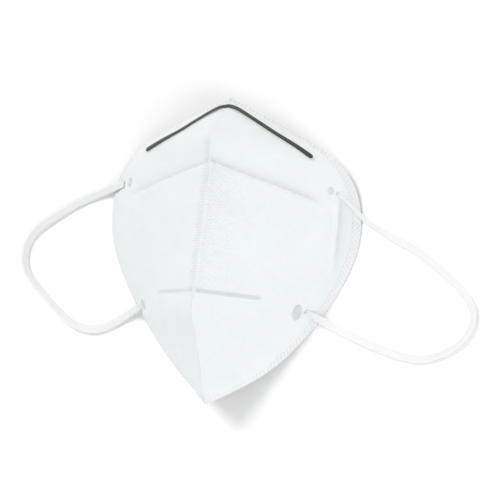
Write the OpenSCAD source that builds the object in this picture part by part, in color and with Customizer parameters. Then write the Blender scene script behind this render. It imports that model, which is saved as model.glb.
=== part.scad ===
// Fold-flat particle mask, half open and resting on its face opening.
// X runs across the face, +Y points to the nose, +Z points away from the face.
// Each half is a soft shell between the front fold line and the rim.

/* [Shell] */
// How far the middle of each side panel bows outward
bow = 4; // [0:0.5:8]
// Half of the width left for the seam between the two halves
seam_gap = 0.6; // [0.4:0.1:1]
// Width of the welded border around the face opening
rim_w = 5.5; // [3:0.5:8]

/* [Layers] */
// Thickness of the outer cover
cover_t = 0.3; // [0.2:0.05:0.5]
// Thickness of each melt-blown filter sheet
filter_t = 0.2; // [0.15:0.05:0.4]
// Thickness of the cotton sheet
cotton_t = 0.8; // [0.5:0.1:1.5]
// Thickness of the inner lining
lining_t = 0.3; // [0.2:0.05:0.5]
// Air between one sheet and the next
sheet_gap = 0.03; // [0.02:0.01:0.1]

/* [Nose clip] */
// Width of the metal strip
clip_w = 2.4; // [2:0.2:4]
// Thickness of the metal strip
clip_t = 0.9; // [0.4:0.1:1]
// Distance from the rim to the near edge of the strip, at the nose
clip_inset = 6.8; // [5.4:0.1:7]
// How much further in the right half of the strip lies, along the panel
clip_sag_right = 4.2; // [0:0.2:6]
// How much further in the left half of the strip lies, along the panel
clip_sag_left = 10.5; // [0:0.5:12]
// Thickness of the glue under the strip
glue_t = 0.15; // [0.1:0.05:0.3]
// Distance from the rim to the near edge of the foam pad
foam_inset = 3.8; // [3.6:0.2:4.4]
// Width of the foam pad behind the strip
foam_w = 10; // [6:1:12]
// Thickness of the foam pad
foam_t = 3; // [2:0.5:5]

/* [Ear loops] */
// Width of the flat elastic band
band_w = 4; // [3:0.5:6]
// Thickness of the flat elastic band
band_t = 1.2; // [0.8:0.1:2]
// Length of a weld spot along the band
weld_l = 7; // [5:0.5:9]
// Width of a weld spot
weld_w = 5.5; // [4:0.5:7]

/* [Hidden] */

// Stations from the nose tip to the chin tip: [fold y, fold z, rim x, rim y, rim z]
STATIONS = [
    [77, 18.5, 0, 77, 18.5],
    [70, 28, 20, 67.5, 15.5],
    [62, 37, 38, 58.5, 12],
    [54, 42.5, 52, 50.5, 8],
    [44, 41.5, 61, 40.5, 4.8],
    [30, 43.5, 66, 28, 2.2],
    [14, 46, 67, 12, 1.1],
    [-2, 47.5, 64, -2, 1],
    [-18, 50, 56.5, -18, 1],
    [-31, 52, 47, -33, 1.1],
    [-43, 44.5, 36, -47, 2.6],
    [-55, 37, 24.5, -58.5, 6],
    [-67, 31, 12, -68, 13],
    [-76.5, 25, 0, -76.5, 25]
];
LAST = len(STATIONS) - 1;

// Places along the fold, as shares of the way from the nose tip to the chin tip
fold_top = 3 / LAST;
fold_bottom = 9 / LAST;
tip_share = 0.002;
clip_end = 0.259;
foam_end = 0.235;
// Room left between a flat strip and the bowed sheet beside it
strip_room = 0.1;
// Under the nose, the lines from the fold to the rim meet the rim at a slant:
// this is the share of a length along them that goes away from the rim
slant = 0.58;
// Share along the fold at which the strip comes back to its distance from the rim
clip_back = 0.27;

// Depths of the layers below the outer face
d_first = cover_t + sheet_gap;
d_second = d_first + filter_t + sheet_gap;
d_cotton = d_second + filter_t + sheet_gap;
d_lining = d_cotton + cotton_t + sheet_gap;
d_inside = d_lining + lining_t;
// The welded border is pressed thinner than the open layers
rim_top = 0.15;
rim_bottom = 1.35;

// Weld spots as [share along the fold line, share from the fold to the rim]
upper_weld = [0.36, 0.81];
lower_weld = [0.665, 0.79];

// Centre lines of the ear loops, from the upper weld to the lower weld
right_route = [
    [57.4, 31.7, 10.5], [60, 29.2, 8.6], [62.6, 26.6, 6.6], [65, 24, 4.6], [67, 22, 3.2],
    [69.4, 20, 2.2], [74, 17.2, 1.3], [80, 13.8, 1], [86, 10.8, 1], [92, 8.4, 1], [98, 5.4, 1],
    [104, 1.4, 1], [110, -2.8, 1], [116, -7.4, 1.2], [121, -11.8, 1.5], [125.4, -16.8, 1.8],
    [128, -22.4, 2], [127.8, -28.6, 2], [125, -34.2, 1.8], [120.6, -39, 1.5],
    [115, -42.8, 1.2], [108.6, -45.6, 1], [101.8, -47, 1], [94.8, -46.6, 1], [88, -45.2, 1],
    [81, -43.2, 1], [74, -41, 1], [67, -38.4, 1], [61, -36, 1], [56, -33.8, 1.2],
    [52.4, -32, 2], [50, -30.6, 3.4], [48, -29.3, 5.8], [46.2, -28.2, 8.6], [44.8, -27.6, 11.1]
];
left_route = [
    [-58.6, 32.3, 9.4], [-61.4, 31.5, 7.2], [-64.2, 30.7, 5], [-67, 29.9, 3.2],
    [-70.4, 28.7, 1.9], [-75, 26.8, 1.2], [-81, 24.2, 1], [-87, 21.2, 1.1], [-93, 17.6, 1.3],
    [-99, 13.6, 1.6], [-104.6, 9.6, 1.9], [-109, 5.2, 2], [-112, -0.4, 2], [-113, -6.8, 2],
    [-111.6, -13.2, 2], [-107.8, -18.6, 2], [-102.8, -23.6, 2], [-97.6, -28.6, 2],
    [-92, -33.6, 2], [-86.4, -38, 1.8], [-80.4, -40.8, 1.4], [-74, -41.8, 1.2],
    [-67.6, -40.8, 1], [-61.6, -38, 1], [-56.4, -34.8, 1.2], [-52.6, -32.4, 2],
    [-50, -30.9, 3.4], [-47.8, -29.9, 5.4], [-45.8, -29.2, 8], [-44.2, -28.7, 10.6]
];

function mix(a, b, t) = a + (b - a) * t;
function unit(v) = v / norm(v);

// Smooth curve through four stations
function spline(a, b, c, d, t) = 0.5 * (
    2 * b + (c - a) * t + (2 * a - 5 * b + 4 * c - d) * t * t
    + (3 * b - a - 3 * c + d) * t * t * t
);
function station(v) = let (
    k = min(LAST - 1, floor(v * LAST)),
    t = v * LAST - k
) spline(
    STATIONS[max(0, k - 1)], STATIONS[k], STATIONS[k + 1], STATIONS[min(LAST, k + 2)], t
);

function fold_point(v) = let (s = station(v)) [seam_gap, s[0], s[1]];
function rim_point(v) = let (s = station(v)) [max(seam_gap, s[2]), s[3], s[4]];
function panel_width(v) = norm(rim_point(v) - fold_point(v));

// Direction that points out of the shell
function outward(p) = unit([p[0], 0.55 * p[1], p[2] + 60]);

// A point of the right half: u from the fold to the rim, v from nose to chin, depth inward
function shell(u, v, depth) = let (
    flat = mix(fold_point(v), rim_point(v), u),
    out = outward(flat)
) flat + out * (bow * sin(180 * v) * 4 * u * (1 - u) - depth);

// Share across the panel of a point this far in from the rim
function share_from_rim(v, inset) = max(0, 1 - inset / panel_width(v));

// The first v, between lo and hi, at which the panel is this wide
function where_wide(w, lo, hi, n = 24) =
    n == 0 ? hi
    : let (m = (lo + hi) / 2)
        panel_width(m) < w == panel_width(lo) < w
            ? where_wide(w, m, hi, n - 1)
            : where_wide(w, lo, m, n - 1);

// A closed solid between two grids of points with the same rows and columns
module grid_solid(top, bottom) {
    rows = len(top);
    cols = len(top[0]);
    first = rows * cols;
    points = [for (grid = [top, bottom]) for (row = grid) for (p = row) p];
    function at(i, j) = i * cols + j;
    skins = [
        for (i = [0:rows - 2]) for (j = [0:cols - 2])
        let (a = at(i, j), b = at(i, j + 1), c = at(i + 1, j + 1), d = at(i + 1, j))
        each [
            [a, b, c], [a, c, d],
            [first + a, first + c, first + b], [first + a, first + d, first + c]
        ]
    ];
    edge = concat(
        [for (j = [0:cols - 1]) at(0, j)],
        [for (i = [1:rows - 1]) at(i, cols - 1)],
        [for (j = [cols - 2:-1:0]) at(rows - 1, j)],
        [for (i = [rows - 2:-1:1]) at(i, 0)]
    );
    n = len(edge);
    walls = [
        for (k = [0:n - 1])
        let (a = edge[k], b = edge[(k + 1) % n])
        each [[b, a, first + a], [b, first + a, first + b]]
    ];
    polyhedron(points, concat(skins, walls));
}

// A patch of the right half between two depths, with limits across it as shares
module patch(v_from, v_to, u_from, u_to, depth, thick, rows, cols) {
    grid = [
        for (d = [depth, depth + thick]) [
            for (i = [0:rows])
            let (v = mix(v_from, v_to, i / rows))
            [for (j = [0:cols]) shell(mix(u_from(v), u_to(v), j / cols), v, d)]
        ]
    ];
    grid_solid(grid[0], grid[1]);
}

// One sheet of the right half, which ends at the welded border
module sheet(depth, thick) {
    from_v = where_wide(1.05 * rim_w, 0, 1.5 / LAST);
    to_v = where_wide(1.05 * rim_w, 1 - 1.5 / LAST, 1);
    patch(
        from_v, to_v, function(v) 0, function(v) share_from_rim(v, rim_w + 0.1),
        depth, thick, 34, 10
    );
}

// A band of the right half under the nose that follows the rim, and sags away from it
module rim_band(v_to, near, far, sag, depth, thick, rows, cols) {
    from_v = where_wide(1.05 * near / slant, 0, 1.5 / LAST);
    function inset(v, edge) = edge / slant + sag * sin(180 * pow(v / clip_back, 2));
    patch(
        from_v, v_to,
        function(v) share_from_rim(v, inset(v, far)), function(v) share_from_rim(v, inset(v, near)),
        depth, thick, rows, cols
    );
}

// A strip in the gap between the halves that follows the fold line
module fold_strip(v_from, v_to, proud, rows) {
    half = seam_gap - 0.25;
    grid = [
        for (d = [-proud, d_inside]) [
            for (i = [0:rows])
            let (p = shell(0, mix(v_from, v_to, i / rows), d))
            [[-half, p[1], p[2]], [half, p[1], p[2]]]
        ]
    ];
    grid_solid(grid[0], grid[1]);
}

// An oval weld spot on the outer face of the right half
module weld_spot(place) {
    at = shell(place[1], place[0], 0);
    along = unit(shell(place[1] + 0.02, place[0], 0) - at);
    out = unit(cross(shell(place[1], place[0] + 0.01, 0) - at, along));
    up = out[2] < 0 ? -out : out;
    side = cross(up, along);
    lift = 0.25;
    multmatrix([
        [along[0], side[0], up[0], at[0] + lift * up[0]],
        [along[1], side[1], up[1], at[1] + lift * up[1]],
        [along[2], side[2], up[2], at[2] + lift * up[2]],
        [0, 0, 0, 1]
    ])
        intersection() {
            cylinder(h = 0.9, d = weld_l, $fn = 48);
            translate([-weld_l, -weld_w / 2, 0]) cube([2 * weld_l, weld_w, 2]);
        }
}

// The way the flat side of a band faces: out of the shell near a weld, up further away
function band_face(p) = let (t = min(1, max(0, (norm([p[0], p[1]]) - 62) / 16)))
    unit(mix(outward(p), [0, 0, 1], t));

// A flat band swept along a route
module band(route) {
    sides = 8;
    last = len(route) - 1;
    ring = [
        for (i = [0:last])
        let (
            along = unit(route[min(last, i + 1)] - route[max(0, i - 1)]),
            across = unit(cross(band_face(route[i]), along)),
            up = cross(along, across)
        )
        [for (k = [0:sides - 1])
            let (a = 360 * (k + 0.5) / sides, r = cos(180 / sides))
            route[i] + across * (band_w / 2 * cos(a) / r) + up * (band_t / 2 * sin(a) / r)]
    ];
    points = [for (r = ring) for (p = r) p];
    skin = [
        for (i = [0:last - 1]) for (k = [0:sides - 1])
        let (m = (k + 1) % sides, a = i * sides + k, b = i * sides + m)
        each [[a, a + sides, b + sides], [a, b + sides, b]]
    ];
    caps = [
        for (k = [1:sides - 2])
        each [[0, k, k + 1], [last * sides, last * sides + k + 1, last * sides + k]]
    ];
    polyhedron(points, concat(skin, caps));
}

module left() { mirror([1, 0, 0]) children(); }

module outer_cover() { color("white") sheet(0, cover_t); }
module filter_first() { color("gainsboro") sheet(d_first, filter_t); }
module filter_second() { color("lightgray") sheet(d_second, filter_t); }
module cotton_layer() { color("ivory") sheet(d_cotton, cotton_t); }
module inner_lining() { color("whitesmoke") sheet(d_lining, lining_t); }

module rim_weld() {
    color("white")
        patch(
            tip_share, 1 - tip_share,
            function(v) share_from_rim(v, rim_w), function(v) 1,
            rim_top, rim_bottom - rim_top, 52, 2
        );
}

module nose_seam() { color("white") fold_strip(tip_share, fold_top - 0.004, 0.2, 8); }
module front_fold() { color("white") fold_strip(fold_top, fold_bottom, 0.2, 16); }
module chin_seam() { color("white") fold_strip(fold_bottom + 0.004, 1 - tip_share, 0.2, 10); }

module clip_glue(sag) {
    color("beige")
        rim_band(
            clip_end, clip_inset, clip_inset + clip_w, sag,
            -glue_t - strip_room, glue_t, 24, 2
        );
}
module nose_clip(sag) {
    color("darkslategray")
        rim_band(
            clip_end, clip_inset, clip_inset + clip_w, sag,
            -glue_t - clip_t - 1.2 * strip_room, clip_t, 24, 2
        );
}
module nose_foam() {
    color("lightgray")
        rim_band(
            foam_end, foam_inset, foam_inset + foam_w, 0,
            d_inside + 1.5 * strip_room, foam_t, 20, 3
        );
}

outer_cover();  // outer_cover_right
left() outer_cover();  // outer_cover_left
filter_first();  // filter_first_right
left() filter_first();  // filter_first_left
filter_second();  // filter_second_right
left() filter_second();  // filter_second_left
cotton_layer();  // cotton_layer_right
left() cotton_layer();  // cotton_layer_left
inner_lining();  // inner_lining_right
left() inner_lining();  // inner_lining_left
rim_weld();  // rim_weld_right
left() rim_weld();  // rim_weld_left
nose_seam();
front_fold();
chin_seam();
nose_clip(clip_sag_right);  // nose_clip_right
left() nose_clip(clip_sag_left);  // nose_clip_left
clip_glue(clip_sag_right);  // clip_glue_right
left() clip_glue(clip_sag_left);  // clip_glue_left
nose_foam();  // nose_foam_right
left() nose_foam();  // nose_foam_left
color("white") weld_spot(upper_weld);  // loop_weld_upper_right
color("white") weld_spot(lower_weld);  // loop_weld_lower_right
left() color("white") weld_spot(upper_weld);  // loop_weld_upper_left
left() color("white") weld_spot(lower_weld);  // loop_weld_lower_left
color("white") band(right_route);  // ear_loop_right
color("white") band(left_route);  // ear_loop_left
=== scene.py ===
import math

import bpy
import numpy as np
from mathutils import Matrix, Vector


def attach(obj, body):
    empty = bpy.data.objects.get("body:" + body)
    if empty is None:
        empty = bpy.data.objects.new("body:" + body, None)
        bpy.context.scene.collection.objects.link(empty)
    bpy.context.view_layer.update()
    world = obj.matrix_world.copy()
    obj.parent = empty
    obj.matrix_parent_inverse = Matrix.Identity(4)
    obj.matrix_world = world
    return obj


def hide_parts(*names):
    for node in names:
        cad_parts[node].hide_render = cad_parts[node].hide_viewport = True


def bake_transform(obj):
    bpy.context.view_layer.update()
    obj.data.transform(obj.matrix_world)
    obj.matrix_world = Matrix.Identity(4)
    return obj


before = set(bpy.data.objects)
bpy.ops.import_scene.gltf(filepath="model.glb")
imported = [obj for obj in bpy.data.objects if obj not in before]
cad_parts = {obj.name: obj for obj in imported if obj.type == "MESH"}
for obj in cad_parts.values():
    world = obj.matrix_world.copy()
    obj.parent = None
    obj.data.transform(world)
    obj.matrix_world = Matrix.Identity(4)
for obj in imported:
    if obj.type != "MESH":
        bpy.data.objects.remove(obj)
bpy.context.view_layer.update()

# The scene is in metres. Sizes below are in millimetres and are multiplied by MM.
MM = 0.001

# ---------------------------------------------------------------- the shell, as part.scad makes it

# From the nose tip to the chin tip: [fold y, fold z, rim x, rim y, rim z]
STATIONS = np.array([
    [77, 18.5, 0, 77, 18.5],
    [70, 28, 20, 67.5, 15.5],
    [62, 37, 38, 58.5, 12],
    [54, 42.5, 52, 50.5, 8],
    [44, 41.5, 61, 40.5, 4.8],
    [30, 43.5, 66, 28, 2.2],
    [14, 46, 67, 12, 1.1],
    [-2, 47.5, 64, -2, 1],
    [-18, 50, 56.5, -18, 1],
    [-31, 52, 47, -33, 1.1],
    [-43, 44.5, 36, -47, 2.6],
    [-55, 37, 24.5, -58.5, 6],
    [-67, 31, 12, -68, 13],
    [-76.5, 25, 0, -76.5, 25],
], float)
LAST = len(STATIONS) - 1
FOLD_TOP = 3 / LAST
FOLD_BOTTOM = 9 / LAST
# Length of the front line from the nose tip to the chin tip
ALONG = 190.0
BOW = 4.0
RIM_W = 5.5
COVER_T = 0.3
DEPTHS = {"filter_first": 0.33, "filter_second": 0.56, "cotton_layer": 0.79, "inner_lining": 1.62}
THICKS = {"filter_first": 0.2, "filter_second": 0.2, "cotton_layer": 0.8, "inner_lining": 0.3}
INSIDE = 1.92
# Lines across the panel under the nose meet the rim at this slant
SLANT = 0.58
# The strip's section, the distance of its centre line from the rim, its sag in each half, and where
# along the fold it ends and comes back
CLIP_W = 2.4
CLIP_T = 0.9
CLIP_INSET = 6.8 + CLIP_W / 2
CLIP_SAG = {1: 4.2, -1: 10.5}
CLIP_END = 0.259
CLIP_BACK = 0.27
FOAM_W = 10
FOAM_T = 3
FOAM_INSET = 3.8 + FOAM_W / 2
FOAM_END = 0.235
# Distances from one bar or dot to the next, in millimetres
TICK_PITCH = 1.25
FOLD_PITCH = 1.6
BAR_PITCH = 1.2
DOT_PITCH = 2.2
# Where each weld lies: along the fold, and across the panel from the fold
UPPER_WELD = (0.36, 0.81)
LOWER_WELD = (0.665, 0.79)

# Centre lines of the ear loops in millimetres, from the upper weld to the lower weld
RIGHT_ROUTE = [
    [57.4, 31.7, 10.5], [60, 29.2, 8.6], [62.6, 26.6, 6.6], [65, 24, 4.6], [67, 22, 3.2],
    [69.4, 20, 2.2], [74, 17.2, 1.3], [80, 13.8, 1], [86, 10.8, 1], [92, 8.4, 1], [98, 5.4, 1],
    [104, 1.4, 1], [110, -2.8, 1], [116, -7.4, 1.2], [121, -11.8, 1.5], [125.4, -16.8, 1.8],
    [128, -22.4, 2], [127.8, -28.6, 2], [125, -34.2, 1.8], [120.6, -39, 1.5],
    [115, -42.8, 1.2], [108.6, -45.6, 1], [101.8, -47, 1], [94.8, -46.6, 1], [88, -45.2, 1],
    [81, -43.2, 1], [74, -41, 1], [67, -38.4, 1], [61, -36, 1], [56, -33.8, 1.2],
    [52.4, -32, 2], [50, -30.6, 3.4], [48, -29.3, 5.8], [46.2, -28.2, 8.6], [44.8, -27.6, 11.1],
]
LEFT_ROUTE = [
    [-58.6, 32.3, 9.4], [-61.4, 31.5, 7.2], [-64.2, 30.7, 5], [-67, 29.9, 3.2],
    [-70.4, 28.7, 1.9], [-75, 26.8, 1.2], [-81, 24.2, 1], [-87, 21.2, 1.1], [-93, 17.6, 1.3],
    [-99, 13.6, 1.6], [-104.6, 9.6, 1.9], [-109, 5.2, 2], [-112, -0.4, 2], [-113, -6.8, 2],
    [-111.6, -13.2, 2], [-107.8, -18.6, 2], [-102.8, -23.6, 2], [-97.6, -28.6, 2],
    [-92, -33.6, 2], [-86.4, -38, 1.8], [-80.4, -40.8, 1.4], [-74, -41.8, 1.2],
    [-67.6, -40.8, 1], [-61.6, -38, 1], [-56.4, -34.8, 1.2], [-52.6, -32.4, 2],
    [-50, -30.9, 3.4], [-47.8, -29.9, 5.4], [-45.8, -29.2, 8], [-44.2, -28.7, 10.6],
]


def smooth_step(a, b, x):
    t = np.clip((x - a) / (b - a), 0, 1)
    return t * t * (3 - 2 * t)


def unit(v):
    return v / np.linalg.norm(v, axis=-1, keepdims=True)


def catmull_rom(points, at):
    """Points of the smooth curve through points, at positions counted in points."""
    points = np.asarray(points, float)
    at = np.asarray(at, float)
    last = len(points) - 1
    k = np.minimum(last - 1, np.floor(at)).astype(int)
    t = (at - k)[..., None]
    a, b = points[np.maximum(0, k - 1)], points[k]
    c, d = points[k + 1], points[np.minimum(last, k + 2)]
    return 0.5 * (
        2 * b + (c - a) * t + (2 * a - 5 * b + 4 * c - d) * t ** 2
        + (3 * b - a - 3 * c + d) * t ** 3
    )


def fold_and_rim(v):
    s = catmull_rom(STATIONS, np.clip(v, 0, 1) * LAST)
    zero = np.zeros_like(s[..., 0])
    fold = np.stack([zero, s[..., 0], s[..., 1]], -1)
    rim = np.stack([np.maximum(0, s[..., 2]), s[..., 3], s[..., 4]], -1)
    return fold, rim


def panel_width(v):
    fold, rim = fold_and_rim(v)
    return np.linalg.norm(rim - fold, axis=-1)


def share_from_rim(v, inset):
    return np.clip(1 - inset / np.maximum(panel_width(v), 1e-6), 0, 1)


def where_wide(width, from_nose=True):
    """The place along the fold, nearest its end, at which the panel is this wide."""
    v = np.linspace(0, 1.5 / LAST, 4000)
    v = v if from_nose else 1 - v
    return float(v[np.argmax(panel_width(v) >= width)])


def outward(p):
    return unit(np.stack([p[..., 0], 0.55 * p[..., 1], p[..., 2] + 60], -1))


def noise(x, y, seed, waves=14, low=0.5, high=2.0):
    """A smooth random field of unit size, made of plane waves."""
    rng = np.random.default_rng(seed)
    total = 0
    for _ in range(waves):
        angle, phase = rng.uniform(0, 2 * math.pi, 2)
        rate = rng.uniform(low, high)
        total = total + np.sin(rate * (x * math.cos(angle) + y * math.sin(angle)) + phase)
    return total / math.sqrt(waves / 2)


def crease(distance, wide, sharp):
    """The height of a pressed crease: it falls gently over wide and comes back within sharp."""
    down = -np.exp(-np.clip(-distance, 0, None) / wide)
    back = np.where(distance > 0, -np.exp(-((distance / sharp) ** 2)), down)
    return back


def crease_lines(u, v):
    """Each pressed crease: millimetres past its line, and its strength from 0 to 1."""
    upper = (v - (0.309 + 0.118 * u)) * ALONG
    lower = (v - (0.632 + 0.010 * u)) * ALONG
    cheek = (u - (0.835 + 3.8 * (v - 0.45) ** 2)) * panel_width(v)
    near_fold = smooth_step(0, 0.03, u)
    return {
        "upper": (upper, near_fold * (1 - smooth_step(0.62, 0.80, u))),
        "lower": (lower, near_fold * (1 - smooth_step(0.46, 0.52, u))),
        "cheek": (cheek, smooth_step(0.365, 0.40, v) * (1 - smooth_step(0.47, 0.60, v))),
    }


def round_nose(u, v):
    """How much a rounded fold lies below a sharp one: soft over the nose, crisp further down."""
    fold, rim = fold_and_rim(v)
    drop = -np.sum(unit(rim - fold + [1e-9, 0, 0]) * outward(fold), axis=-1)
    width = panel_width(v)
    slope = drop / np.sqrt(np.maximum(1 - drop ** 2, 0.04))
    slope = slope - 4 * BOW * np.sin(math.pi * v) / np.maximum(width, 8)
    radius = 0.5 + 5 * smooth_step(0.0, 0.04, v) * (1 - smooth_step(0.15, 0.225, v))
    across = u * width
    lower = slope * (np.sqrt(across ** 2 + radius ** 2) - across)
    return lower * np.exp(-((across / 14) ** 2))


def big_relief(u, v, side):
    """How far, in millimetres, every layer stands out of the even shell."""
    width = panel_width(v)
    across = u * width
    along = (v - 0.3) * ALONG
    free = smooth_step(0, 9, across) * smooth_step(0, 12, width - across)
    high = 0.32 * noise(across / 10, along / 10 + 7 * side, 3, low=0.35, high=1.2) * free
    high = high - round_nose(u, v)
    lines = crease_lines(u, v)
    high = high + 1.4 * crease(lines["upper"][0], 4.5, 1.4) * lines["upper"][1]
    high = high + 0.6 * crease(lines["lower"][0], 1.0, 1.0) * lines["lower"][1]
    # A ridge on the right cheek only: it rises sharply, then falls gently towards the rim
    high = high - 0.55 * crease(-lines["cheek"][0], 3.0, 1.5) * lines["cheek"][1] * (side > 0)
    # The band's upper end pulls a shallow dimple into the sheet
    dimple = ((u - UPPER_WELD[1]) * width / 5) ** 2 + ((v - UPPER_WELD[0]) * ALONG / 4) ** 2
    return high - 0.5 * np.exp(-dimple)


def pressed_and_shaded(u, v, side):
    """How hard the sheet is pressed, from 0 to 1, plus painted shade: fused fibres look a little
    greyer, and the same grey is painted as shade along the creases and beside the right cheek ridge.
    """
    lines = crease_lines(u, v)
    upper, lower, cheek = (lines[name][0] for name in ("upper", "lower", "cheek"))
    # The left half gets less of the pressed grey and its painted shade
    left = np.where(side < 0, 0.3, 1.0)
    # Pressed grey and painted shade: a grey band on the nose side of the upper crease, darkest at its
    # line, where the slope falls away from the light
    above = np.exp(-np.clip(-upper, 0, None) / 2.2) * (1 - smooth_step(-0.2, 0.8, upper))
    # Fine bars stand in the upper crease near the fold
    across = u * panel_width(v)
    bars = np.cos(2 * math.pi * across / BAR_PITCH) * (1 - smooth_step(14, 22, across))
    above = above * (0.8 + 0.35 * bars)
    total = 0.75 * above * lines["upper"][1] * left
    # Pressed grey and painted shade in the narrow groove of the lower crease
    total = total + np.exp(-((lower / 1.15) ** 4)) * lines["lower"][1] * (0.3 + 0.35 * left)
    # Painted shade on the rim side of the right cheek ridge, where the sheet falls away from the light
    beside = smooth_step(0, 0.8, cheek) * np.exp(-cheek.clip(0) / 2.2)
    return total + 0.8 * beside * lines["cheek"][1] * (side > 0)


def place(s, v, depth, relief=True):
    """Points of the shell. s runs from -1 at the left rim over 0 at the fold to 1 at the right rim."""
    s, v, depth = np.broadcast_arrays(s, v, depth)
    u, side = np.abs(s), np.where(s < 0, -1.0, 1.0)
    fold, rim = fold_and_rim(v)
    flat = fold + (rim - fold) * u[..., None]
    high = BOW * np.sin(math.pi * v) * 4 * u * (1 - u) - depth
    if relief:
        high = high + big_relief(u, v, side)
    p = flat + outward(flat) * high[..., None]
    p[..., 0] *= side
    return p * MM


# ---------------------------------------------------------------- meshes

def new_piece(name, verts, faces, material, sharp=35):
    mesh = bpy.data.meshes.new(name)
    mesh.from_pydata([tuple(p) for p in verts], [], [tuple(f) for f in faces])
    mesh.validate()
    mesh.update()
    mesh.shade_smooth()
    mesh.set_sharp_from_angle(angle=math.radians(sharp))
    mesh.materials.append(material)
    piece = bpy.data.objects.new(name, mesh)
    bpy.context.scene.collection.objects.link(piece)
    return piece


def grid_faces(rows, cols, first=0, flip=False):
    i, j = np.meshgrid(np.arange(rows - 1), np.arange(cols - 1), indexing="ij")
    a = first + i * cols + j
    quad = np.stack([a, a + cols, a + cols + 1, a + 1], -1).reshape(-1, 4)
    return (quad[:, ::-1] if flip else quad).tolist()


def closed_sheet(name, top, bottom, material, sharp=35):
    """A closed solid between two grids of points, with the top grid facing out."""
    rows, cols = top.shape[:2]
    verts = np.concatenate([top.reshape(-1, 3), bottom.reshape(-1, 3)])
    n = rows * cols
    faces = grid_faces(rows, cols) + grid_faces(rows, cols, n, flip=True)
    edge = [j for j in range(cols)] + [i * cols + cols - 1 for i in range(1, rows)]
    edge += [(rows - 1) * cols + j for j in range(cols - 2, -1, -1)]
    edge += [i * cols for i in range(rows - 2, 0, -1)]
    for a, b in zip(edge, edge[1:] + edge[:1]):
        faces.append([a, b, n + b, n + a])
    piece = new_piece(name, verts, faces, material, sharp)
    add_cloth_map(piece, rows, cols)
    return piece


def add_cloth_map(piece, rows, cols):
    """A map in centimetres along and across the sheet, for its weave."""
    mesh = piece.data
    co = np.empty(len(mesh.vertices) * 3)
    mesh.vertices.foreach_get("co", co)
    grid = co.reshape(-1, 3)[:rows * cols].reshape(rows, cols, 3)
    middle = grid[:, cols // 2]
    along = np.concatenate([[0], np.cumsum(np.linalg.norm(np.diff(middle, axis=0), axis=1))])
    step = np.linalg.norm(np.diff(grid, axis=1), axis=2)
    across = np.concatenate([np.zeros((rows, 1)), np.cumsum(step, axis=1)], axis=1)
    across = across - across[:, cols // 2][:, None]
    uv = np.stack([across, np.broadcast_to(along[:, None], across.shape)], -1).reshape(-1, 2) * 100
    uv = np.concatenate([uv, uv])
    index = np.empty(len(mesh.loops), int)
    mesh.loops.foreach_get("vertex_index", index)
    layer = mesh.uv_layers.new(name="Cloth")
    layer.data.foreach_set("uv", uv[index].reshape(-1))


def mark_press_and_shade(piece, amount):
    """Store how hard each point of a closed sheet's outer face is pressed, with the painted shade of
    the creases added in.
    """
    flat = np.clip(amount, 0, 1).reshape(-1)
    both = np.concatenate([flat, np.zeros_like(flat)]).astype(np.float32)
    piece.data.attributes.new("PressAndShade", "FLOAT", "POINT").data.foreach_set("value", both)


def add_band_map(piece, path, across):
    """A map in centimetres for a swept bar: along its path, given in mm, and across its outline."""
    step = np.concatenate([[0], np.cumsum(np.linalg.norm(np.diff(path, axis=0), axis=1))]) / 10
    uv = np.stack(np.broadcast_arrays(across[None, :], step[:, None]), -1).reshape(-1, 2)
    index = np.empty(len(piece.data.loops), int)
    piece.data.loops.foreach_get("vertex_index", index)
    piece.data.uv_layers.new(name="Cloth").data.foreach_set("uv", uv[index].reshape(-1))


def sweep(name, centre, across, up, section, material, sharp=40):
    """A bar with the same outline all along; section(i) gives its points as [across, up]."""
    rings = len(centre)
    outline = [np.asarray(section(i), float) for i in range(rings)]
    sides = len(outline[0])
    verts = [
        centre[i] + across[i] * x + up[i] * y for i in range(rings) for x, y in outline[i]
    ]
    faces = []
    for i in range(rings - 1):
        for k in range(sides):
            m = (k + 1) % sides
            faces.append([i * sides + k, i * sides + m, (i + 1) * sides + m, (i + 1) * sides + k])
    faces.append(list(range(sides))[::-1])
    faces.append([(rings - 1) * sides + k for k in range(sides)])
    return new_piece(name, verts, faces, material, sharp)


def rounded_bar(width, height, corner=0.5, points=28):
    """A flat outline with round corners: a superellipse."""
    a = np.linspace(0, 2 * math.pi, points, endpoint=False)
    c, s = np.cos(a), np.sin(a)
    return np.stack([
        width / 2 * np.sign(c) * np.abs(c) ** corner, height / 2 * np.sign(s) * np.abs(s) ** corner
    ], -1)


# ---------------------------------------------------------------- materials

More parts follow.
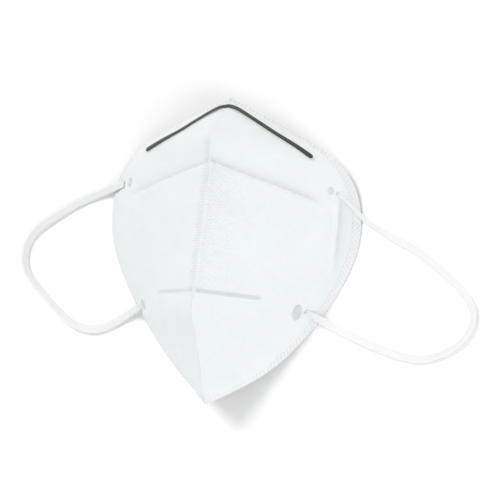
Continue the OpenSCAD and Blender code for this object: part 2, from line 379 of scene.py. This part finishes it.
class Nodes:
    """A short way to build a material's node tree."""

    def __init__(self, name):
        self.material = bpy.data.materials.new(name)
        self.material.use_nodes = True
        self.tree = self.material.node_tree
        self.shader = self.tree.nodes["Principled BSDF"]

    def add(self, kind, **values):
        node = self.tree.nodes.new(kind)
        for key, value in values.items():
            if hasattr(node, key):
                setattr(node, key, value)
            else:
                node.inputs[key.replace("_", " ")].default_value = value
        return node

    def link(self, source, target):
        self.tree.links.new(source, target)

    def math(self, operation, a, b=None, c=None, clamp=False):
        node = self.tree.nodes.new("ShaderNodeMath")
        node.operation = operation
        node.use_clamp = clamp
        for socket, value in zip(node.inputs, (a, b, c)):
            if value is None:
                continue
            if isinstance(value, (int, float)):
                socket.default_value = value
            else:
                self.link(value, socket)
        return node.outputs[0]

    def ramp(self, source, low, high, start=0.0, end=1.0):
        node = self.tree.nodes.new("ShaderNodeValToRGB")
        node.color_ramp.elements[0].position = start
        node.color_ramp.elements[1].position = end
        node.color_ramp.elements[0].color = (*low, 1)
        node.color_ramp.elements[1].color = (*high, 1)
        self.link(source, node.inputs["Fac"])
        return node.outputs["Color"]

    def mix(self, color, other, share):
        """One colour, moved towards another fixed one by a share."""
        node = self.tree.nodes.new("ShaderNodeMixRGB")
        self.link(share, node.inputs["Fac"])
        self.link(color, node.inputs["Color1"])
        node.inputs["Color2"].default_value = (*other, 1)
        return node.outputs["Color"]

    def bump(self, height, strength, distance, normal=None):
        node = self.add("ShaderNodeBump", Strength=strength, Distance=distance)
        self.link(height, node.inputs["Height"])
        if normal is not None:
            self.link(normal, node.inputs["Normal"])
        return node.outputs["Normal"]

    def set(self, **values):
        for key, value in values.items():
            self.shader.inputs[key.replace("_", " ")].default_value = value


def nonwoven(name, pale, shade, ribs=0.0, bond=0.5, fibre=0.5, rough=0.85, grey=0.8):
    """Spunbond sheet: fine random fibres, pressed bond points and faint ribs near the fold."""
    n = Nodes(name)
    cloth = n.add("ShaderNodeUVMap", uv_map="Cloth").outputs["UV"]
    position = n.add("ShaderNodeTexCoord").outputs["Object"]
    heights = []
    for angle, seed in ((0.5, 1.0), (-0.7, 4.0)):
        turned = n.add("ShaderNodeMapping", Rotation=(0, 0, angle), Scale=(26, 3.2, 1))
        n.link(cloth, turned.inputs["Vector"])
        strand = n.add("ShaderNodeTexNoise", noise_dimensions="4D", W=seed, Scale=3.0, Detail=3.0)
        n.link(turned.outputs["Vector"], strand.inputs["Vector"])
        heights.append(strand.outputs["Fac"])
    fibres = n.math("ADD", heights[0], heights[1])
    diamonds = n.add("ShaderNodeMapping", Rotation=(0, 0, math.pi / 4), Scale=(9, 9, 9))
    n.link(cloth, diamonds.inputs["Vector"])
    cells = n.add("ShaderNodeTexVoronoi", Scale=1.0, Randomness=0.12)
    n.link(diamonds.outputs["Vector"], cells.inputs["Vector"])
    points = n.ramp(cells.outputs["Distance"], (0, 0, 0), (1, 1, 1), 0.14, 0.3)
    split = n.add("ShaderNodeSeparateXYZ")
    n.link(cloth, split.inputs["Vector"])
    patches = n.add("ShaderNodeTexNoise", Scale=70.0, Detail=4.0, Roughness=0.6)
    n.link(position, patches.inputs["Vector"])
    color = n.ramp(patches.outputs["Fac"], shade, pale, 0.3, 0.62)
    # The stored press value greys fused fibres and also paints shade into the crease valleys
    press_and_shade = n.add("ShaderNodeAttribute", attribute_name="PressAndShade").outputs["Fac"]
    color = n.mix(color, PRESS_AND_SHADE_GREY, n.math("MULTIPLY", press_and_shade, grey, clamp=True))
    n.link(color, n.shader.inputs["Base Color"])
    rough_mix = n.ramp(fibres, (rough - 0.1,) * 3, (rough + 0.08,) * 3, 0.7, 1.3)
    n.link(rough_mix, n.shader.inputs["Roughness"])
    normal = n.bump(fibres, fibre, 0.00012)
    normal = n.bump(points, bond, 0.00008, normal)
    if ribs:
        side = n.math("ABSOLUTE", split.outputs["X"])
        slanted = n.math("SUBTRACT", split.outputs["Y"], n.math("MULTIPLY", side, 0.28))
        wave = n.math("SINE", n.math("MULTIPLY", slanted, 2 * math.pi / 0.155))
        near = n.math("SUBTRACT", 1.0, n.math("DIVIDE", side, 2.6), clamp=True)
        right = n.math("MULTIPLY_ADD", split.outputs["X"], 4.0, 0.3, clamp=True)
        # The ribs run from below the nose down to the lower crease
        top = n.math("MULTIPLY_ADD", split.outputs["Y"], 1.0, -3.6, clamp=True)
        low = n.math("MULTIPLY_ADD", split.outputs["Y"], -2.5, 27.5, clamp=True)
        where = n.math("MULTIPLY", n.math("MULTIPLY", near, right), n.math("MULTIPLY", top, low))
        normal = n.bump(n.math("MULTIPLY", wave, where), ribs, 0.00028, normal)
    n.link(normal, n.shader.inputs["Normal"])
    n.set(Sheen_Weight=0.25, Sheen_Roughness=0.5, Specular_IOR_Level=0.25,
          Subsurface_Weight=0.12, Subsurface_Scale=0.002)
    return n.material


def elastic_material():
    """Knitted elastic: lengthwise ribs come from the shape, cross stitches from here."""
    n = Nodes("KnittedElastic")
    cloth = n.add("ShaderNodeUVMap", uv_map="Cloth").outputs["UV"]
    split = n.add("ShaderNodeSeparateXYZ")
    n.link(cloth, split.inputs["Vector"])
    stitch = n.math("SINE", n.math("MULTIPLY", split.outputs["Y"], 2 * math.pi * 14))
    rib = n.math("SINE", n.math("MULTIPLY", split.outputs["X"], 2 * math.pi * 16))
    knit = n.math("MULTIPLY", stitch, rib)
    fuzz = n.add("ShaderNodeTexNoise", Scale=900.0, Detail=3.0)
    position = n.add("ShaderNodeTexCoord").outputs["Object"]
    n.link(position, fuzz.inputs["Vector"])
    color = n.ramp(knit, (0.74, 0.745, 0.75), (0.86, 0.862, 0.865), -0.6, 0.8)
    n.link(color, n.shader.inputs["Base Color"])
    normal = n.bump(knit, 0.5, 0.0001)
    normal = n.bump(fuzz.outputs["Fac"], 0.35, 0.00012, normal)
    n.link(normal, n.shader.inputs["Normal"])
    n.set(Roughness=0.8, Sheen_Weight=0.3, Sheen_Roughness=0.4, Specular_IOR_Level=0.25)
    return n.material


def clip_material():
    """Dark coated metal strip with fine brushed lines, worn a little paler."""
    n = Nodes("CoatedStrip")
    position = n.add("ShaderNodeTexCoord").outputs["Object"]
    stretched = n.add("ShaderNodeMapping", Scale=(60, 600, 600))
    n.link(position, stretched.inputs["Vector"])
    lines = n.add("ShaderNodeTexNoise", Scale=3.0, Detail=3.0)
    n.link(stretched.outputs["Vector"], lines.inputs["Vector"])
    color = n.ramp(lines.outputs["Fac"], (0.030, 0.038, 0.032), (0.075, 0.088, 0.078), 0.35, 0.7)
    n.link(color, n.shader.inputs["Base Color"])
    rough = n.ramp(lines.outputs["Fac"], (0.28,) * 3, (0.46,) * 3, 0.3, 0.7)
    n.link(rough, n.shader.inputs["Roughness"])
    n.link(n.bump(lines.outputs["Fac"], 0.25, 0.00006), n.shader.inputs["Normal"])
    n.set(Metallic=0.35, Specular_IOR_Level=0.6)
    return n.material


def plain_material(name, low, high, rough, scale, bump=0.3, **values):
    """A material whose colour and surface vary with one noise."""
    n = Nodes(name)
    position = n.add("ShaderNodeTexCoord").outputs["Object"]
    grain = n.add("ShaderNodeTexNoise", Scale=scale, Detail=4.0, Roughness=0.6)
    n.link(position, grain.inputs["Vector"])
    n.link(n.ramp(grain.outputs["Fac"], low, high, 0.3, 0.7), n.shader.inputs["Base Color"])
    n.link(n.bump(grain.outputs["Fac"], bump, 0.0002), n.shader.inputs["Normal"])
    n.set(Roughness=rough, **values)
    return n.material


def foam_material():
    n = Nodes("OpenCellFoam")
    position = n.add("ShaderNodeTexCoord").outputs["Object"]
    cells = n.add("ShaderNodeTexVoronoi", Scale=1800.0)
    n.link(position, cells.inputs["Vector"])
    color = n.ramp(cells.outputs["Distance"], (0.42, 0.43, 0.45), (0.66, 0.67, 0.69), 0.0, 0.5)
    n.link(color, n.shader.inputs["Base Color"])
    n.link(n.bump(cells.outputs["Distance"], 0.6, 0.0002), n.shader.inputs["Normal"])
    n.set(Roughness=0.95, Specular_IOR_Level=0.1)
    return n.material


# The colour of fibres fused by a press, also painted as shade along the creases
PRESS_AND_SHADE_GREY = (0.47, 0.485, 0.50)
COVER = nonwoven("SpunbondCover", (0.765, 0.768, 0.772), (0.745, 0.748, 0.752), ribs=0.45)
BORDER = nonwoven("WeldedBorder", (0.77, 0.775, 0.78), (0.73, 0.735, 0.74), bond=0.2, rough=0.7)
LINING = nonwoven("SoftLining", (0.74, 0.745, 0.75), (0.70, 0.705, 0.71), bond=0.3, fibre=0.7)
COTTON = nonwoven("HotAirCotton", (0.76, 0.76, 0.74), (0.70, 0.70, 0.68), bond=0.0, fibre=1.0)
FILTER = nonwoven("MeltBlown", (0.72, 0.735, 0.75), (0.68, 0.695, 0.71), bond=0.0, fibre=0.3)
SEAM = nonwoven("PressedSeam", (0.71, 0.715, 0.725), (0.66, 0.665, 0.675), bond=0.2, rough=0.7)
ELASTIC = elastic_material()
CLIP = clip_material()
FOAM = foam_material()
GLUE = plain_material("HotGlue", (0.70, 0.69, 0.62), (0.82, 0.81, 0.75), 0.35, 300)
WELD = plain_material("FusedSpot", (0.50, 0.515, 0.525), (0.61, 0.625, 0.635), 0.5, 500)
PALE_WELD = plain_material("PaleFusedSpot", (0.56, 0.57, 0.58), (0.64, 0.65, 0.66), 0.5, 500)


# ---------------------------------------------------------------- camera, floor and light

def add_camera():
    toward = Vector((0.36, -0.05, 0.932)).normalized()
    up = (Vector((0, 1, 0)) - toward * toward.y).normalized()
    right = up.cross(toward)
    roll = math.radians(4.0)
    tilted_right = right * math.cos(roll) + up * math.sin(roll)
    tilted_up = up * math.cos(roll) - right * math.sin(roll)
    aim = Vector((0.008, 0.0026, -0.0016))
    data = bpy.data.cameras.new("Camera")
    data.sensor_width = 36
    data.lens = 288
    data.clip_start = 0.1
    camera = bpy.data.objects.new("Camera", data)
    bpy.context.scene.collection.objects.link(camera)
    turn = Matrix((tilted_right, tilted_up, toward)).transposed().to_4x4()
    camera.matrix_world = Matrix.Translation(aim + toward * 2.0) @ turn
    bpy.context.scene.camera = camera


def add_light(name, kind, direction, energy, size, color=(1, 1, 1), distance=1.2):
    data = bpy.data.lights.new(name, kind)
    data.energy = energy
    data.color = color
    if kind == "SUN":
        data.angle = size
    else:
        data.shape = "DISK"
        data.size = size
    lamp = bpy.data.objects.new(name, data)
    bpy.context.scene.collection.objects.link(lamp)
    toward = Vector(direction).normalized()
    lamp.location = toward * distance
    lamp.rotation_euler = toward.to_track_quat("Z", "Y").to_euler()


def add_stage():
    mesh = bpy.data.meshes.new("floor")
    side = 1.5
    mesh.from_pydata([(-side, -side, 0), (side, -side, 0), (side, side, 0), (-side, side, 0)],
                     [], [(0, 1, 2, 3)])
    floor = bpy.data.objects.new("floor", mesh)
    floor.location.z = -0.0001
    bpy.context.scene.collection.objects.link(floor)
    mesh.materials.append(plain_material(
        "PalePaper", (0.93, 0.93, 0.93), (0.96, 0.96, 0.96), 0.9, 40, bump=0.02))
    world = bpy.data.worlds.new("Studio")
    world.use_nodes = True
    world.node_tree.nodes["Background"].inputs["Color"].default_value = (1.0, 1.0, 1.0, 1)
    world.node_tree.nodes["Background"].inputs["Strength"].default_value = 0.54
    bpy.context.scene.world = world
    bpy.context.scene.view_settings.view_transform = "Standard"
    add_light("Key", "SUN", (-0.36, 0.54, 0.76), 1.85, math.radians(32))
    add_light("Fill", "AREA", (0.8, -0.4, 0.42), 6.4, 0.8, (0.97, 0.985, 1.0))
    add_light("Front", "AREA", (-0.2, -0.8, 0.5), 2.8, 0.8)


add_camera()
add_stage()


# ---------------------------------------------------------------- ear loops

def band_frames(route, turns, narrow):
    """The centre line of a band in fine steps, with its width and facing directions."""
    marks = np.asarray(route, float)
    count = len(marks) - 1
    at = np.linspace(0, count, count * 12 + 1)
    path = catmull_rom(marks, at)
    along = unit(np.gradient(path, axis=0))
    over = smooth_step(62, 78, np.linalg.norm(path[:, :2], axis=1))[:, None]
    face = unit(outward(np.abs(path) * [1, 0, 0] + path * [0, 1, 1]) * (1 - over)
                * np.stack([np.sign(path[:, 0]), np.ones(len(path)), np.ones(len(path))], -1)
                + np.array([0, 0, 1.0]) * over)
    across = unit(np.cross(face, along))
    up = np.cross(along, across)
    knots = np.linspace(0, count, len(turns))
    angle = np.radians(np.interp(at, knots, turns))
    kernel = np.ones(25) / 25
    angle = np.convolve(np.pad(angle, 12, mode="edge"), kernel, mode="valid")[:, None]
    twisted = across * np.cos(angle) + up * np.sin(angle)
    width = np.interp(at, np.linspace(0, count, len(narrow)), narrow)
    # The fused ends lie down on the cover and are pressed thin
    so_far = np.concatenate([[0], np.cumsum(np.linalg.norm(np.diff(path, axis=0), axis=1))])
    from_end = np.minimum(so_far, so_far[-1] - so_far)
    fused = 1 - smooth_step(1, 9, from_end)
    path = path - face * (0.4 * fused)[:, None]
    return path, twisted, np.cross(along, twisted), width, 1 - 0.5 * fused


def band_outline(width, thick):
    """A flat band's outline: round edges, and three lengthwise grooves on each face."""
    flat = rounded_bar(width, thick, corner=0.55, points=44)
    groove = 0.07 * np.cos(flat[:, 0] / width * 2 * math.pi * 3.5)
    flat[:, 1] += np.sign(flat[:, 1]) * groove * (np.abs(flat[:, 1]) > 0.3 * thick)
    return flat


def ear_loop(name, node, route, turns, narrow):
    path, across, up, width, thick = band_frames(route, turns, narrow)
    piece = sweep(
        name, path * MM, across * MM, up * MM, lambda i: band_outline(width[i], thick[i]),
        ELASTIC, sharp=60,
    )
    add_band_map(piece, path, rounded_bar(0.4, 0.1, 0.55, 44)[:, 0])
    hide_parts(node)
    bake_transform(piece)
    return piece


ear_loop(
    "elastic_band_right", "ear_loop_right", RIGHT_ROUTE,
    turns=[14, 24, 34, 20, 6, 0, 0, 10, 32, 42, 30, 10, 0, 0, 0, 0, 0],
    narrow=[1.9, 2.2, 2.7, 3.4, 3.9, 4.1, 4, 4, 3.9, 3.9, 4, 4, 4.1, 4.1, 4.1, 3.6, 1.7],
)
ear_loop(
    "elastic_band_left", "ear_loop_left", LEFT_ROUTE,
    turns=[0, 0, 0, -4, -12, -30, -48, -52, -44, -22, -6, 0, 0, 0],
    narrow=[3.4, 3.9, 4, 4, 4.1, 4, 4, 4, 4, 4.1, 4, 4, 3.9, 3.4],
)


# ---------------------------------------------------------------- the sheets


def bend_at_fold(piece):
    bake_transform(piece)


def sheet_rows(count):
    start, end = where_wide(1.05 * RIM_W), where_wide(1.05 * RIM_W, from_nose=False)
    return np.linspace(start, end, count)[:, None]


def plain_sheet(name, material, rows=90, cols=61):
    v = sheet_rows(rows)
    share = np.linspace(-1, 1, cols)[None, :] * share_from_rim(v, RIM_W + 0.1)
    depth = DEPTHS[name]
    piece = closed_sheet(
        name, place(share, v, depth), place(share, v, depth + THICKS[name]), material
    )
    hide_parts(f"{name}_right", f"{name}_left")
    bend_at_fold(piece)
    return piece


def seam_ticks(u, v, side):
    """Short pressed bars beside the fold, longest on its left: 1 in the middle of a bar."""
    width = panel_width(v)
    across = u * width
    ridge = smooth_step(0.2, 0.235, v) * (1 - smooth_step(0.63, 0.645, v))
    bars = 0.5 + 0.5 * np.cos(v * ALONG / TICK_PITCH * 2 * math.pi)
    ragged = 4.2 + 1.3 * np.sin(v * 260) * np.cos(v * 97)
    stripe = smooth_step(0.3, 0.8, across) * (1 - smooth_step(ragged - 1, ragged + 0.6, across))
    left = np.where(side < 0, 1.0, 0.3)
    return bars ** 1.5 * stripe * ridge * left


def outer_cover():
    rows, cols = 520, 241
    v = sheet_rows(rows)
    t = np.linspace(-1, 1, cols)[None, :]
    # Columns are closer together near the fold, where the seam is
    t = np.sign(t) * (0.35 * np.abs(t) + 0.65 * np.abs(t) ** 1.6)
    # Rows near the upper crease run along it
    lean = np.exp(-(((v - 0.309) / 0.16) ** 2)) * smooth_step(0.04, 0.14, v)
    v = v + 0.11 * np.abs(t) * lean
    share = t * share_from_rim(v, RIM_W + 0.02)
    u, side = np.abs(share), np.where(share < 0, -1.0, 1.0)
    ticks = seam_ticks(u, v, side)
    piece = closed_sheet(
        "outer_cover", place(share, v, 0.22 * ticks), place(share, v, COVER_T), COVER
    )
    # The grey stored here is painted shade along the creases plus pressed fibres; the seam ticks are
    # pressed bars
    mark_press_and_shade(piece, pressed_and_shaded(u, v, side) + 0.35 * ticks)
    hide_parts("outer_cover_right", "outer_cover_left")
    bend_at_fold(piece)


def rim_weld(side, name, node):
    """The pressed border: every layer fused, with rows of small round dots."""
    rows, cols = 900, 25
    v = np.linspace(0.002, 0.998, rows)[:, None]
    inner = share_from_rim(v, RIM_W)
    t = np.linspace(0, 1, cols)[None, :]
    u = inner + (1 - inner) * t
    from_edge = (1 - u) * panel_width(v)
    fold, rim = fold_and_rim(v[:, 0])
    along = np.concatenate([[0], np.cumsum(np.linalg.norm(np.diff(rim, axis=0), axis=1))])[:, None]
    dots = np.cos(2 * math.pi * along / DOT_PITCH) * np.cos(2 * math.pi * from_edge / DOT_PITCH)
    dots = smooth_step(0.1, 0.6, dots)
    inside = smooth_step(0.5, 1.0, from_edge) * (1 - smooth_step(4.6, 5.3, from_edge))
    step = 0.14 * smooth_step(0, 1.0, RIM_W - from_edge)
    edge = 0.3 * (1 - smooth_step(0, 0.5, from_edge))
    top = place(side * u, v, 0.02 + step + edge + 0.16 * dots * inside)
    under = place(side * u, v, 1.28 - edge - 0.1 * dots * inside)
    grey = (0.3 * dots + 0.2 * np.exp(-(((from_edge - 5.0) / 0.5) ** 2))) * inside
    if side < 0:
        top, under, grey = top[:, ::-1], under[:, ::-1], grey[:, ::-1]
    piece = closed_sheet(name, top, under, BORDER)
    mark_press_and_shade(piece, grey)
    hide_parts(node)
    bend_at_fold(piece)


def fold_seam(name, node, v_from, v_to, tall, ticks):
    """The pressed seam on the fold line itself."""
    rows = 120
    v = np.linspace(v_from, v_to, rows)
    ridge = place(np.zeros(rows), v, 0.0)
    facing = outward(ridge / MM)
    across = np.tile([1.0, 0, 0], (rows, 1))
    bump = 0.5 + 0.5 * np.cos(v * ALONG / FOLD_PITCH * 2 * math.pi)
    high = tall + ticks * bump
    piece = sweep(
        name, ridge - facing * 0.35 * MM, across * MM, facing * MM,
        lambda i: rounded_bar(0.75, 2 * (0.35 + high[i]), 0.8, 12), SEAM, sharp=50,
    )
    add_band_map(piece, ridge / MM, rounded_bar(0.075, 0.1, 0.8, 12)[:, 0])
    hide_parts(node)
    bend_at_fold(piece)


outer_cover()
plain_sheet("filter_first", FILTER)
plain_sheet("filter_second", FILTER)
plain_sheet("cotton_layer", COTTON)
plain_sheet("inner_lining", LINING, rows=200, cols=121)
rim_weld(1, "pressed_border_right", "rim_weld_right")
rim_weld(-1, "pressed_border_left", "rim_weld_left")
fold_seam("pressed_nose_seam", "nose_seam", 0.003, FOLD_TOP - 0.003, 0.01, 0.0)
fold_seam("pressed_front_fold", "front_fold", FOLD_TOP, FOLD_BOTTOM, 0.06, 0.08)
fold_seam("pressed_chin_seam", "chin_seam", FOLD_BOTTOM + 0.003, 0.997, 0.10, 0.0)


# ---------------------------------------------------------------- nose clip, glue and foam

def strip_half(side, inset, sag, v_end, depth):
    """The centre line of half a strip, from the fold to its end, and the panel's facing there."""
    v = np.linspace(where_wide(inset / SLANT), v_end, 400)
    u = share_from_rim(v, inset / SLANT + sag * np.sin(math.pi * (v / CLIP_BACK) ** 2))
    line = place(side * u, v, depth) / MM
    step = place(side * (u + 0.02), v, depth) / MM - line
    facing = unit(np.cross(step, np.gradient(line, axis=0)))
    return line, facing * np.sign(facing[:, 2:3])


def strip_frames(inset, v_end, depth, soften, sags, count=161):
    """A strip across the nose: its centre line, and its width and facing directions."""
    right, right_facing = strip_half(1, inset, sags[1], v_end, depth)
    left, left_facing = strip_half(-1, inset, sags[-1], v_end, depth)
    line = np.concatenate([left[::-1], right[1:]])
    facing = np.concatenate([left_facing[::-1], right_facing[1:]])
    x = np.linspace(line[0, 0], line[-1, 0], count)
    radius = soften * np.exp(-((x / 9) ** 2))
    near = np.sign(x) * (np.sqrt(x ** 2 + radius ** 2) - radius)
    path = np.stack([x] + [np.interp(near, line[:, 0], line[:, k]) for k in (1, 2)], -1)
    kernel = np.hanning(19) / np.hanning(19).sum()
    facing = np.stack([
        np.convolve(np.pad(np.interp(near, line[:, 0], facing[:, k]), 9, mode="edge"),
                    kernel, mode="valid")
        for k in range(3)
    ], -1)
    along = unit(np.gradient(path, axis=0))
    across = unit(np.cross(facing, along))
    return path, across, np.cross(along, across)


def end_taper(i, count, rounded, step):
    """The share of the full width left near the strip's round ends."""
    away = min(i, count - 1 - i) * step
    if away >= rounded:
        return 1.0
    return max(0.25, math.sqrt(max(0.0, 1 - ((rounded - away) / rounded) ** 2)))


def nose_parts():
    count = 161
    line, across, up = strip_frames(CLIP_INSET, CLIP_END, 0, 1.6, CLIP_SAG, count)
    step = float(np.linalg.norm(line[1] - line[0]))
    clip = sweep(
        "nose_clip", (line + up * 0.6) * MM, across * MM, up * MM,
        lambda i: rounded_bar(CLIP_W * end_taper(i, count, 1.1, step), CLIP_T, 0.75, 24), CLIP,
        sharp=50,
    )
    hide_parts("nose_clip_right", "nose_clip_left")
    bend_at_fold(clip)
    glue = sweep(
        "clip_glue", (line + up * 0.1) * MM, across * MM, up * MM,
        lambda i: rounded_bar(2.9 * end_taper(i, count, 1.2, step), 0.2, 0.7, 16), GLUE,
        sharp=50,
    )
    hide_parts("clip_glue_right", "clip_glue_left")
    bend_at_fold(glue)
    line, across, up = strip_frames(FOAM_INSET, FOAM_END, INSIDE, 6.0, {1: 0, -1: 0}, count)
    step = float(np.linalg.norm(line[1] - line[0]))
    foam = sweep(
        "nose_foam", (line - up * 1.6) * MM, across * MM, up * MM,
        lambda i: rounded_bar(
            FOAM_W * end_taper(i, count, 2.5, step), FOAM_T * end_taper(i, count, 1.5, step),
            0.45, 36),
        FOAM, sharp=60,
    )
    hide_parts("nose_foam_right", "nose_foam_left")
    bend_at_fold(foam)


nose_parts()


# ---------------------------------------------------------------- loop welds

def loop_weld(name, node, spot, side, body, long, wide, material):
    """A fused oval spot: soft edges round a slightly hollow, dotted middle."""
    v, u = spot
    at = place(side * u, v, 0.0)
    down = unit(place(side * (u + 0.02), v, 0.0) - at)
    rim_way = place(side * u, v + 0.01, 0.0) - at
    facing = unit(np.cross(down, rim_way))
    facing = facing * np.sign(facing[2])
    rim_way = np.cross(facing, down)
    rings, spokes = 16, 64
    share = np.linspace(0, 1, rings + 1)[1:]
    angle = np.linspace(0, 2 * math.pi, spokes, endpoint=False)
    r, a = np.meshgrid(share, angle, indexing="ij")
    x, y = r * wide / 2 * np.cos(a), r * long / 2 * np.sin(a)
    dots = 0.05 * np.cos(x * 2 * math.pi / 1.3) * np.cos(y * 2 * math.pi / 1.3) * (r < 0.72)
    lift = 0.3 + 0.06 * np.exp(-(((r - 0.8) / 0.14) ** 2)) + dots - 0.32 * smooth_step(0.8, 1.0, r)
    # The spot lies on the bowed sheet, so its edge follows the sheet down
    sag = -0.06 * (r ** 2) * 1.4
    top = at + (down * x[..., None] + rim_way * y[..., None] + facing * (lift + sag)[..., None]) * MM
    low = at + (down * x[-1][:, None] + rim_way * y[-1][:, None] - facing * 0.25) * MM
    middle = at + facing * 0.3 * MM
    verts = np.concatenate([top.reshape(-1, 3), low, [middle], [at - facing * 0.25 * MM]])
    faces = []
    n = rings * spokes
    for i in range(rings - 1):
        for k in range(spokes):
            m = (k + 1) % spokes
            faces.append([i * spokes + k, (i + 1) * spokes + k, (i + 1) * spokes + m, i * spokes + m])
    for k in range(spokes):
        m = (k + 1) % spokes
        faces.append([n + spokes, k, m])
        faces.append([(rings - 1) * spokes + k, n + k, n + m, (rings - 1) * spokes + m])
        faces.append([n + spokes + 1, n + m, n + k])
    turn = np.dot(np.cross(down, rim_way), facing)
    if turn < 0:
        faces = [f[::-1] for f in faces]
    piece = new_piece(name, verts, faces, material, sharp=60)
    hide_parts(node)
    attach(piece, body)


for level, spot, side, long, wide, material in (
    ("upper", UPPER_WELD, "right", 4.6, 3.4, PALE_WELD),
    ("lower", LOWER_WELD, "right", 8.8, 5.4, WELD),
    ("upper", UPPER_WELD, "left", 6.0, 4.6, PALE_WELD),
    ("lower", LOWER_WELD, "left", 5.6, 4.4, PALE_WELD),
):
    loop_weld(
        f"fused_spot_{level}_{side}", f"loop_weld_{level}_{side}", spot,
        1 if side == "right" else -1, f"{side}_half", long, wide, material,
    )
